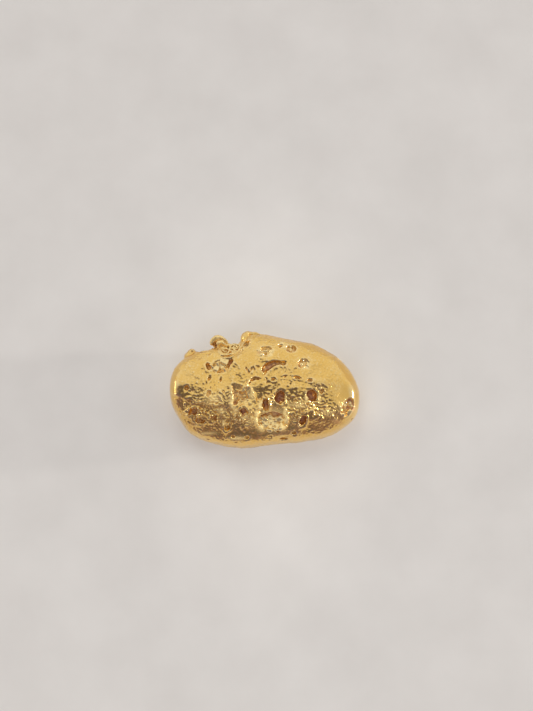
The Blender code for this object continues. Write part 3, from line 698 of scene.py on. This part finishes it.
WORMS = [   # path seen from above, radius, lift over the surface before it was cut
    (ring_path(-2.12, 1.76, 0.3, 140, 560.0, 0.07), 0.045, 0.03),
    (ring_path(-1.66, 2.03, 0.27, 200, -500.0, 0.07), 0.042, 0.03),
    (ring_path(-1.24, 1.9, 0.12, 80, 350.0), 0.05, 0.05),
    ([(-2.44, 2.04), (-2.49, 1.78), (-2.42, 1.56), (-2.28, 1.46)], 0.055, 0.03),
    ([(-2.38, 1.43), (-2.12, 1.44), (-1.9, 1.47), (-1.7, 1.55), (-1.5, 1.6)], 0.055, 0.03),
    ([(-2.3, 1.26), (-2.06, 1.26), (-1.86, 1.28), (-1.62, 1.38)], 0.05, 0.03),
    ([(-1.8, 1.72), (-1.72, 1.66), (-1.58, 1.72), (-1.46, 1.68)], 0.045, 0.03),
    ([(-1.4, 2.34), (-1.34, 2.1), (-1.36, 1.88), (-1.46, 1.72)], 0.05, 0.04),
    ([(-1.94, 2.26), (-1.9, 2.08), (-1.84, 1.94)], 0.045, 0.04)]
LOOSE_RINGS = 3     # small loops standing up between the threads
worms = [thread(laid(path, lift, uncut), [radius] * len(path)) for path, radius, lift in WORMS]
for _ in range(LOOSE_RINGS):
    x, y = dice.uniform(-2.3, -1.5), dice.uniform(1.6, 2.1)
    place = from_above(x, y, 0.0).to_translation() - Vector((0.0, 0.0, 0.06))
    spin = [dice.uniform(-0.9, 0.9), dice.uniform(-0.9, 0.9), dice.uniform(0.0, 3.1)]
    bpy.ops.mesh.primitive_torus_add(location=place, rotation=spin, major_segments=14,
                                     minor_segments=8, major_radius=dice.uniform(0.07, 0.11),
                                     minor_radius=0.042)
    worms.append(bpy.context.object)
crystals = join(crystals, "crystals")
crystal_tree = tree_of(crystals)
nugget = join([nugget, crystals] + worms, "nugget_metal")
modify(nugget, "REMESH", mode="VOXEL", voxel_size=FINE_VOXEL)
print("threads:", len(worms), "faces:", len(nugget.data.polygons))

# %% [markdown]
# ## The fine relief
# First the edges of the pits are rounded a little, but not the crystals. Worm-like
# wrinkles cover the front of the left lobe and the middle, a hammered skin covers the worn
# parts, and a fine grain lies over all. The Displace modifier pushes points along
# their normals by a texture, and a vertex group says how much of it each zone gets.

# %% Zones as vertex groups
FROST_AND_HIGHLIGHT = [   # pale, matt ovals, partly a painted highlight along walls and ridges: x, y, reach in x, reach in y, how much
    (-1.9, 2.05, 0.85, 0.5, 0.5), (-2.5, 2.45, 0.5, 0.4, 0.5), (-0.95, -1.2, 0.6, 0.42, 0.3),
    (-2.75, -1.05, 0.4, 0.28, 0.6), (-1.72, -1.1, 0.15, 0.4, 0.9), (-3.08, -0.75, 0.2, 0.2, 0.6),
    (-0.68, -0.75, 0.12, 0.35, 0.8), (-1.08, -1.88, 0.22, 0.16, 0.8), (-2.18, -2.2, 0.1, 0.14, 0.8),
    (1.1, -0.95, 0.06, 0.18, 0.7), (2.2, -0.95, 0.09, 0.24, 1.0), (1.75, -1.32, 0.5, 0.2, 0.6),
    (-0.7, -2.0, 0.22, 0.4, 0.5), (0.4, -1.75, 0.7, 0.3, 0.6), (-0.27, -1.35, 0.11, 0.28, 1.0),
    (-0.42, -1.78, 0.14, 0.26, 1.0), (-0.42, -2.1, 0.18, 0.26, 1.0),
    (-0.18, -2.44, 0.24, 0.18, 1.0), (1.05, -1.72, 0.12, 0.26, 1.0), (1.08, -2.05, 0.15, 0.28, 1.0),
    (0.95, -2.38, 0.18, 0.18, 1.0), (2.88, -0.95, 0.09, 0.26, 0.7), (-1.6, -1.62, 0.14, 0.24, 0.7),
    (-2.32, -1.62, 0.22, 0.16, 0.6), (3.2, -1.63, 0.4, 0.18, 0.4), (-1.45, -2.93, 0.45, 0.09, 0.7),
    (-3.05, -2.64, 0.5, 0.08, 0.5)]
CAVITY = (-1.15, -0.6, 0.45, 0.45, 0.8)     # oval over the stepped cavity: the same values
FILM_AND_SHADE_LOW = 0.6      # no film or painted shade below this height
FILM_AND_SHADE = [    # brown film on open metal, partly painted shade: the same values
    (4.62, -1.22, 0.2, 0.34, 1.0), (3.82, -2.03, 0.55, 0.2, 0.55), (-3.75, -2.2, 0.45, 0.16, 0.5),
    (-0.24, 1.52, 0.22, 0.18, 0.6), (1.4, 1.66, 0.28, 0.14, 0.7), (1.98, 0.84, 0.28, 0.22, 0.5)]


def ovals(co, table):
    """How much the soft ovals of a table cover each point, seen from above."""
    cover = np.zeros(len(co))
    for x, y, reach_x, reach_y, much in table:
        cover = np.maximum(cover, much * bump(co, x, y, reach_x, reach_y))
    return cover


def in_bowls(co):
    """1 inside the crystal bowls, less in the stepped cavity."""
    lined = [(x, y, 1.1 * a, 1.1 * b, 1.0) for x, y, a, b, *_ in VUGS]
    inside = ovals(co, lined + [(bowl_x, bowl_y - 0.05, 0.85, 0.5, 1.0), CAVITY])
    return inside * (co[:, 2] > RIM_Z)


def frosted_and_highlit(co):
    """How pale and matt the metal is; along walls and ridges it is a painted highlight."""
    return np.maximum(0.3 * in_bowls(co), ovals(co, FROST_AND_HIGHLIGHT)) * (co[:, 2] > RIM_Z - 0.3)


def filmed_and_shaded(co):
    """How far a brown film, partly painted shade, covers open metal."""
    return ovals(co, FILM_AND_SHADE) * (co[:, 2] > FILM_AND_SHADE_LOW)


def zone(obj, name, weights):
    """Vertex group from one weight per point, in sixteen steps."""
    group = obj.vertex_groups.new(name=name)
    level = np.round(np.clip(weights, 0.0, 1.0) * 16).astype(int)
    for step in range(1, 17):
        group.add(np.nonzero(level == step)[0].tolist(), step / 16.0, "REPLACE")
    return name


def wrinkled(co):
    """Front of the left lobe, the middle, and patches of the front on the right."""
    left = bump(co, -3.0, -1.5, 1.5, 0.75) * 1.0
    middle = bump(co, 0.3, -0.95, 1.7, 0.4) * 0.75
    front = bump(co, -1.2, -2.0, 1.3, 0.42) * 1.0
    right = (bump(co, 2.1, -1.35, 1.1, 0.42) * 0.8 + bump(co, 2.75, -0.38, 0.45, 0.22) * 0.3
             + bump(co, 1.6, -2.0, 0.35, 0.45) * 0.7 + bump(co, 3.1, -1.6, 0.5, 0.3) * 0.8)
    return np.clip(left + middle + front + right, 0.0, 1.0) * smoothstep(
        (co[:, 2] - 1.6) / 0.4)


def skinned(co):
    """Everywhere but the polished ends."""
    right = smoothstep((co[:, 0] - 3.6) / 0.8)
    left = smoothstep((-4.1 - co[:, 0]) / 0.5)
    return 1.0 - 0.8 * np.maximum(left, right)


def worn(co):
    """1 on worn metal, 0 in the crystal bowls and the torn corner."""
    sheltered = in_bowls(co)
    return 1.0 - np.maximum(sheltered, np.minimum(1.0, 1.6 * bump(co, -1.75, 2.0, 0.75, 0.5)))


# %% Wear, wrinkles, hammering and grain
co = points_of(nugget)
modify(nugget, "SMOOTH", factor=0.5, iterations=6, vertex_group=zone(nugget, "worn", worn(co)))
wrinkles = bpy.data.textures.new("wrinkles", "CLOUDS")
wrinkles.noise_type, wrinkles.noise_scale, wrinkles.noise_depth = "HARD_NOISE", 0.21, 1
modify(nugget, "DISPLACE", texture=wrinkles, texture_coords="LOCAL", mid_level=0.45,
       strength=0.2, vertex_group=zone(nugget, "wrinkled", wrinkled(co)))
hammer = bpy.data.textures.new("hammer", "VORONOI")
hammer.noise_scale = 0.42
skin = zone(nugget, "skinned", skinned(points_of(nugget)))
modify(nugget, "DISPLACE", texture=hammer, texture_coords="LOCAL", mid_level=0.4,
       strength=0.04, vertex_group=skin)
grain = bpy.data.textures.new("grain", "CLOUDS")
grain.noise_scale, grain.noise_depth = 0.11, 2
modify(nugget, "DISPLACE", texture=grain, texture_coords="LOCAL", mid_level=0.5,
       strength=0.05, vertex_group=skin)
modify(nugget, "DECIMATE", ratio=min(1.0, FACE_BUDGET / (2.0 * len(nugget.data.polygons))),
       use_collapse_triangulate=True)
print("faces after thinning:", len(nugget.data.polygons))

# %% [markdown]
# ## The flat it lies on
# The nugget rests on a small worn flat. Everything below the floor's level is selected and
# scaled to nothing in height, about the floor: the quickest way to press a mesh flat.

# %% Press the underside flat
pick(nugget)
bpy.ops.object.mode_set(mode="EDIT")
bpy.ops.mesh.select_mode(type="VERT")
bpy.ops.mesh.select_all(action="DESELECT")
bpy.ops.object.mode_set(mode="OBJECT")
nugget.data.vertices.foreach_set("select", points_of(nugget)[:, 2] < 0.0)
bpy.ops.object.mode_set(mode="EDIT")
bpy.ops.transform.resize(value=(1.0, 1.0, 0.0), center_override=(0.0, 0.0, 0.0))
bpy.ops.mesh.select_all(action="SELECT")
bpy.ops.mesh.normals_make_consistent(inside=False)
bpy.ops.object.mode_set(mode="OBJECT")
print("lowest point:", round(float(points_of(nugget)[:, 2].min()), 4))

# %% [markdown]
# ## How deep, how sheltered
# What stands out is paler, a painted highlight, and what lies deep or in a crease is browner,
# partly a brown stain and partly painted shade. Crystal faces get a pale colour, a painted glint,
# and little brown. Some of the metal, most of it in and round the bowls, is paler and more matt,
# and is treated as frosted; along walls and ridges this pale frost is a painted highlight. The
# finish needs to know which is which, so four values are kept with each point: how far it lies
# under the surface as it was before cutting, with a brown film on open metal, partly painted
# shade, added; how much of it faces into a crease; whether it is on a crystal; and how frosted it
# is.

# %% Depth, crease, crystals and frost, kept as attributes
DEEP = 0.3     # depth that counts as 1
SHARP = 0.05    # depth of a crease that adds 1 to the middle value, a half


def store(obj, name, values):
    layer = obj.data.attributes.new(name, "FLOAT", "POINT")
    layer.data.foreach_set("value", np.clip(values, 0.0, 1.0).astype(np.float32))


def depth_under(obj, tree):
    depth = np.zeros(len(obj.data.vertices))
    for i, v in enumerate(obj.data.vertices):
        place, normal, _, _ = tree.find_nearest(v.co)
        depth[i] = (place - v.co).dot(normal)
    return depth


def near_crystals(co, reach=0.05):
    """1 on the faces of crystals, 0 from this far away."""
    found = (crystal_tree.find_nearest(Vector(c), 0.4)[3] for c in co)
    away = np.array([1.0 if gap is None else gap for gap in found])
    return 1.0 - smoothstep(away / reach)


def crease(obj, turns=3):
    """How far each point lies below the mean of its neighbours."""
    co = points_of(obj)
    ends = np.empty(len(obj.data.edges) * 2, np.int32)
    obj.data.edges.foreach_get("vertices", ends)
    a, b = ends[0::2], ends[1::2]
    count = np.bincount(ends, minlength=len(co))[:, None]
    mean = co
    for _ in range(turns):
        total = np.zeros_like(co)
        np.add.at(total, a, mean[b])
        np.add.at(total, b, mean[a])
        mean = total / count
    return ((mean - co) * normals_of(obj)).sum(axis=1)


# %% Store them with the mesh
co = points_of(nugget)
bite_at, bite_half = BITE
from_bite = np.hypot((co[:, 0] - bite_at[0]) / bite_half[0],
                     (co[:, 1] - bite_at[1]) / bite_half[1])
# A thin line along the bite's wall is made browner.
bite_wall = np.exp(-((from_bite - 1.0) / 0.06) ** 2) * (co[:, 2] > 1.8)
depth = depth_under(nugget, uncut) * (1.0 - 0.5 * in_bowls(co)
                                      - 0.3 * bump(co, -1.85, 1.9, 0.75, 0.5)) + 0.2 * bite_wall
hollow = crease(nugget)
facets = near_crystals(co)
store(nugget, "facets", facets)
store(nugget, "frost", frosted_and_highlit(co))
# The depth also carries the brown film, partly painted shade.
store(nugget, "depth", depth / DEEP + 1.2 * filmed_and_shaded(co))
store(nugget, "hollow", 0.5 + hollow / SHARP)
print("deepest, mm:", round(float(depth.max()), 2), "crease:", round(float(hollow.std()), 4),
      "share on crystals:", round(float(facets.mean()), 3))

# %% [markdown]
# ## To metres, and into the solid's box
# The mesh is brought to metres and moved so that its box has the same middle as the solid's
# seen from above, and its lowest point at the solid's. Its object stays at the origin with the
# place in its mesh.

# %% Scale and place
co = points_of(nugget) * MM
middle = (co.max(axis=0) + co.min(axis=0)) / 2.0
target = (cad_low + cad_high) / 2.0
shift = np.array([target.x - middle[0], target.y - middle[1], cad_low.z - co[:, 2].min()])
move_points(nugget, co + shift)
nugget.vertex_groups.clear()
pick(nugget)
bpy.ops.object.shade_smooth()
print("shift, mm:", [round(1000.0 * float(v), 3) for v in shift],
      "size, mm:", [round(1000.0 * v, 2) for v in nugget.dimensions])

# %% [markdown]
# ## Shader maths as plain maths
# A procedural finish is mostly arithmetic between masks. The class below wraps one socket so
# that adding or multiplying two of them adds a Math node, and a single method adds any
# other node.

# %% A socket that can be reckoned with
class Wire:
    """One output socket of a node tree."""

    def __init__(self, tree, socket=None):
        self.tree, self.socket = tree, socket

    def node(self, kind, settings=None, inputs=None, output=0):
        """Adds a node: its settings first, then the values or links of its sockets."""
        made = self.tree.nodes.new("ShaderNode" + kind)
        for key, value in (settings or {}).items():
            if key == "stops":
                ramp = made.color_ramp
                while len(ramp.elements) < len(value):
                    ramp.elements.new(0.5)
                for element, (place, color) in zip(ramp.elements, value):
                    element.position, element.color = place, color
            else:
                setattr(made, key, value)
        for key, value in (inputs or {}).items():
            if isinstance(value, Wire):
                self.tree.links.new(value.socket, made.inputs[key])
            else:
                made.inputs[key].default_value = value
        return Wire(self.tree, made.outputs[output])

    def math(self, operation, *values):
        return self.node("Math", {"operation": operation}, dict(enumerate(values)))

    def __add__(self, other):
        return self.math("ADD", self, other)

    __radd__ = __add__

    def __sub__(self, other):
        return self.math("SUBTRACT", self, other)

    def __rsub__(self, other):
        return self.math("SUBTRACT", other, self)

    def __mul__(self, other):
        return self.math("MULTIPLY", self, other)

    __rmul__ = __mul__

    def ramp(self, low, high):
        """0 up to low, 1 from high on, smooth between."""
        return self.node("MapRange", {"interpolation_type": "SMOOTHSTEP"},
                         {"Value": self, "From Min": low, "From Max": high})

    def mix(self, first, second):
        """The first colour where this is 0, the second where it is 1."""
        return self.node("Mix", {"data_type": "RGBA"},
                         {"Factor": self, 6: first, 7: second}, output=2)

    def dot(self, way):
        return self.node("VectorMath", {"operation": "DOT_PRODUCT"}, {0: self, 1: way},
                         output="Value")

    def part(self, axis):
        return self.node("SeparateXYZ", {}, {0: self}, output=axis)

    def plug(self, socket):
        self.tree.links.new(self.socket, socket)


def blank_material(name):
    mat = bpy.data.materials.new(name)
    mat.use_nodes = True
    return mat, Wire(mat.node_tree), mat.node_tree.nodes["Principled BSDF"]


# %% [markdown]
# ## Native gold
# A warm, rather pale yellow, browner and duller in the pits and creases, partly a brown stain
# and partly painted shade. Ridges and the low sides are paler, a painted highlight and a painted
# reflection of the floor, and crystal faces are paler still, a painted glint. Frosted metal
# scatters light every way, as a matt paint does, so it is made less metallic and paler; along walls
# and ridges this paleness is a painted highlight. Both ends are smoother and have fine ripples.

# %% Gold finish
GOLD = (0.9, 0.56, 0.15, 1.0)
# Paler gold: a real tone in random patches, a painted highlight on ridges and a painted reflection
# of the floor on the low sides.
GOLD_PALE_AND_HIGHLIGHT = (0.95, 0.69, 0.31, 1.0)
# Crystal faces: a pale colour that is a painted glint.
FACET_PAINTED_GLINT = (1.0, 0.76, 0.36, 1.0)
# Frosted metal, pale and matt; along walls and ridges a painted highlight.
FROSTED_AND_HIGHLIGHT = (1.0, 0.76, 0.3, 1.0)
# Brown of the pits and creases: partly a brown stain, partly painted shade.
STAIN_AND_SHADE = (0.5, 0.235, 0.12, 1.0)
STAIN_DEEP_AND_SHADE = (0.44, 0.2, 0.115, 1.0)

gold, wire, shader = blank_material("native_gold")
place = wire.node("TexCoord", output="Object")
depth_at, hollow_at, facet_at, frost_and_highlight_at = (
    wire.node("Attribute", {"attribute_name": name}, output="Fac")
    for name in ("depth", "hollow", "facets", "frost"))
along, up = place.part("X"), place.part("Z")
polished = along.ramp(0.0036, 0.0044) + along.ramp(-0.0041, -0.0046)
patches = wire.node("TexNoise", {}, {"Vector": place, "Scale": 900.0, "Detail": 3.0})
fine = wire.node("TexNoise", {}, {"Vector": place, "Scale": 9000.0, "Detail": 4.0})

# Browner and duller where the metal lies deep or in a crease: partly a brown stain, partly painted
# shade.
stain_and_shade = (depth_at.ramp(0.25, 0.95) * 0.85 + hollow_at.ramp(0.55, 0.95) * 0.35) * (
    0.75 + 0.5 * patches) * (1.0 - 0.8 * facet_at) * (1.0 - 0.5 * frost_and_highlight_at)
# Paler in random patches, a real tone; paler on ridges, a painted highlight; paler below about 2
# mm, a painted reflection of the floor.
pale_and_highlight = hollow_at.ramp(0.5, 0.2) * 0.8 + patches.ramp(0.45, 0.7) * 0.25
pale_and_highlight = pale_and_highlight + 0.9 * up.ramp(0.0021, 0.0014) * (1.0 - pale_and_highlight)
# Crystal faces take the pale colour of a painted glint.
color = (facet_at * 0.8).mix(pale_and_highlight.mix(GOLD, GOLD_PALE_AND_HIGHLIGHT), FACET_PAINTED_GLINT)
# Frosted metal, partly a painted highlight.
color = frost_and_highlight_at.mix(color, FROSTED_AND_HIGHLIGHT)
color = stain_and_shade.mix(color, depth_at.ramp(0.6, 1.0).mix(STAIN_AND_SHADE, STAIN_DEEP_AND_SHADE))
rough = (0.15 + 0.1 * patches + 0.22 * stain_and_shade - 0.11 * facet_at
         + 0.1 * frost_and_highlight_at * (1.0 - facet_at) - 0.07 * polished)
ripples = wire.node("TexWave", {"bands_direction": "Y"}, {
    "Vector": place, "Scale": 4200.0, "Distortion": 6.0, "Detail Scale": 0.3}, output="Fac")
rippled = along.ramp(0.0034, 0.0042) + along.ramp(-0.0028, -0.0036)
bumps = wire.node("Bump", {}, {"Height": fine + 0.28 * ripples * rippled, "Strength": 0.25,
                               "Distance": 0.02 * MM})
metal = 1.0 - 0.4 * stain_and_shade - 0.9 * frost_and_highlight_at
metal.plug(shader.inputs["Metallic"])
color.plug(shader.inputs["Base Color"])
rough.plug(shader.inputs["Roughness"])
bumps.plug(shader.inputs["Normal"])
nugget.data.materials.clear()
nugget.data.materials.append(gold)
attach(nugget, "root")
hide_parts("nugget")
print("gold nodes:", len(gold.node_tree.nodes))

# %% [markdown]
# ## Floor
# Plain, pale and matt. It also glows faintly all over, more in its middle round the nugget:
# painted light that keeps the nugget's shadow soft.

# %% Pale floor
bpy.ops.object.select_all(action="DESELECT")
bpy.ops.mesh.primitive_plane_add(size=0.5)
floor = bpy.context.object
floor.name = "floor"
paper, wire, shader = blank_material("pale_floor")
place = wire.node("TexCoord", output="Object")
mottle = wire.node("TexNoise", {}, {"Vector": place, "Scale": 260.0, "Detail": 5.0})
tone = wire.node("ValToRGB", {"stops": [(0.3, (0.535, 0.505, 0.462, 1.0)),
                                        (0.7, (0.575, 0.545, 0.5, 1.0))]}, {"Fac": mottle})
oval = wire.node("VectorMath", {"operation": "MULTIPLY"}, {0: place, 1: (1.2, 0.65, 1.0)})
away = wire.node("VectorMath", {"operation": "LENGTH"}, {0: oval}, output="Value")
# Painted light: the floor glows, more near the nugget, to soften its shadow.
painted_glow = wire.node("VectorMath", {"operation": "SCALE"},
                {0: tone, "Scale": 0.8 + 0.74 * away.ramp(0.01, 0.003)})
tone.plug(shader.inputs["Base Color"])
painted_glow.plug(shader.inputs["Emission Color"])
shader.inputs["Emission Strength"].default_value = 0.22
shader.inputs["Roughness"].default_value = 0.9
floor.data.materials.append(paper)

# %% [markdown]
# ## Light
# Polished metal shows what stands round it. From nearly above, the crown mirrors the bright
# back half of the studio, the front slope the dark front half, and the rim the floor. The
# world is therefore pale, a little duller at both sides, with a wide, soft-edged dark patch in
# front and a smaller one to the right of it. All of it is placed for the camera below: from
# behind, the crown mirrors the dark patch instead. The two wash lamps light the floor softly
# and are hidden from reflections. The three small window lamps are left visible, for sparks.

# %% Studio world
SKY = (0.83, 0.84, 0.855, 1.0)
DUSK = (0.65, 0.65, 0.66, 1.0)      # at both sides
SHADE = (0.15, 0.138, 0.2, 1.0)
SHADE_LOW = (0.28, 0.21, 0.3, 1.0)
SHADE_TILT = radians(28.0)     # height of the dark patch's middle
SHADE_TURN = radians(-20.0)    # and its turn to the left
SHADE_INNER, SHADE_OUTER = 58.0, 68.0
CORNER = (0.698, -0.629, 0.342)     # middle of a smaller dark patch in the right-hand corner
CORNER_OUTER, CORNER_INNER = cos(radians(24.0)), cos(radians(9.0))

world = bpy.data.worlds.new("studio")
bpy.context.scene.world = world
world.use_nodes = True
wire = Wire(world.node_tree)
toward = wire.node("TexCoord", output="Generated")
patch = toward.dot((sin(SHADE_TURN) * cos(SHADE_TILT), -cos(SHADE_TURN) * cos(SHADE_TILT),
                    sin(SHADE_TILT)))
inside = patch.ramp(cos(radians(SHADE_OUTER)), cos(radians(SHADE_INNER)))
corner = toward.dot(CORNER).ramp(CORNER_OUTER, CORNER_INNER)
inside = inside + corner * (1.0 - inside)
height, across, ahead = toward.part("Z"), toward.part("X"), toward.part("Y")
shade = height.ramp(0.7, 0.2).mix(SHADE, SHADE_LOW)
beside = wire.math("ABSOLUTE", across) * 0.74 - ahead * 0.2 + height * 0.64
sky = inside.mix(beside.ramp(0.62, 0.95).mix(SKY, DUSK), shade)
sky.plug(world.node_tree.nodes["Background"].inputs["Color"])


def lamp(name, place, size, watts, seen=False, tall=None):
    """Flat lamp that faces the nugget; its place, width and height in millimetres."""
    bpy.ops.object.select_all(action="DESELECT")
    where = Vector(place) * MM
    aim = (Vector((0.0, 0.0, 1.5 * MM)) - where).to_track_quat("-Z", "Y").to_euler()
    bpy.ops.object.light_add(type="AREA", location=where, rotation=aim)
    made = bpy.context.object
    made.name = name
    made.data.shape, made.data.energy = "RECTANGLE", watts
    made.data.size, made.data.size_y = size * MM, (tall or size) * MM
    made.visible_glossy = seen
    return made


lamp("window", (200, 16, 22), 12, 0.26, seen=True, tall=15)
lamp("window_high", (150, -30, 70), 5, 0.011, seen=True)
lamp("window_left", (-200, 30, 5), 120, 0.016, seen=True, tall=7)
lamp("wash_back", (-60, 130, 220), 160, 0.145)
lamp("wash_front", (-70, -200, 200), 200, 0.36)

# %% [markdown]
# ## Camera
# A long view from the front and 74 degrees up.

# %% Camera
VIEW_UP = radians(74.0)
PICTURE_PX = 711.0      # height of the picture
FOCAL_PX = 1531.0       # focal length in the same pixels
PX_PER_MM = 18.48       # size of the nugget in the picture
SENSOR = 36.0
AIM_RIGHT, AIM_UP = 0.0812, 1.813       # what the view is moved by, in millimetres
aim = Vector((AIM_RIGHT, 0.0, 0.0)) + AIM_UP * Vector((0.0, sin(VIEW_UP), cos(VIEW_UP)))
back = Vector((0.0, -cos(VIEW_UP), sin(VIEW_UP))) * (FOCAL_PX / PX_PER_MM)
spot = (Vector((0.0, 0.0, 1.3)) + back + aim) * MM + Vector(shift)
bpy.ops.object.camera_add(location=spot, rotation=(pi / 2.0 - VIEW_UP, 0.0, 0.0))
camera = bpy.context.object
camera.data.sensor_width = SENSOR
camera.data.lens = SENSOR * FOCAL_PX / PICTURE_PX
camera.data.clip_start = 0.001
bpy.context.scene.camera = camera
bpy.context.scene.view_settings.view_transform = "Standard"
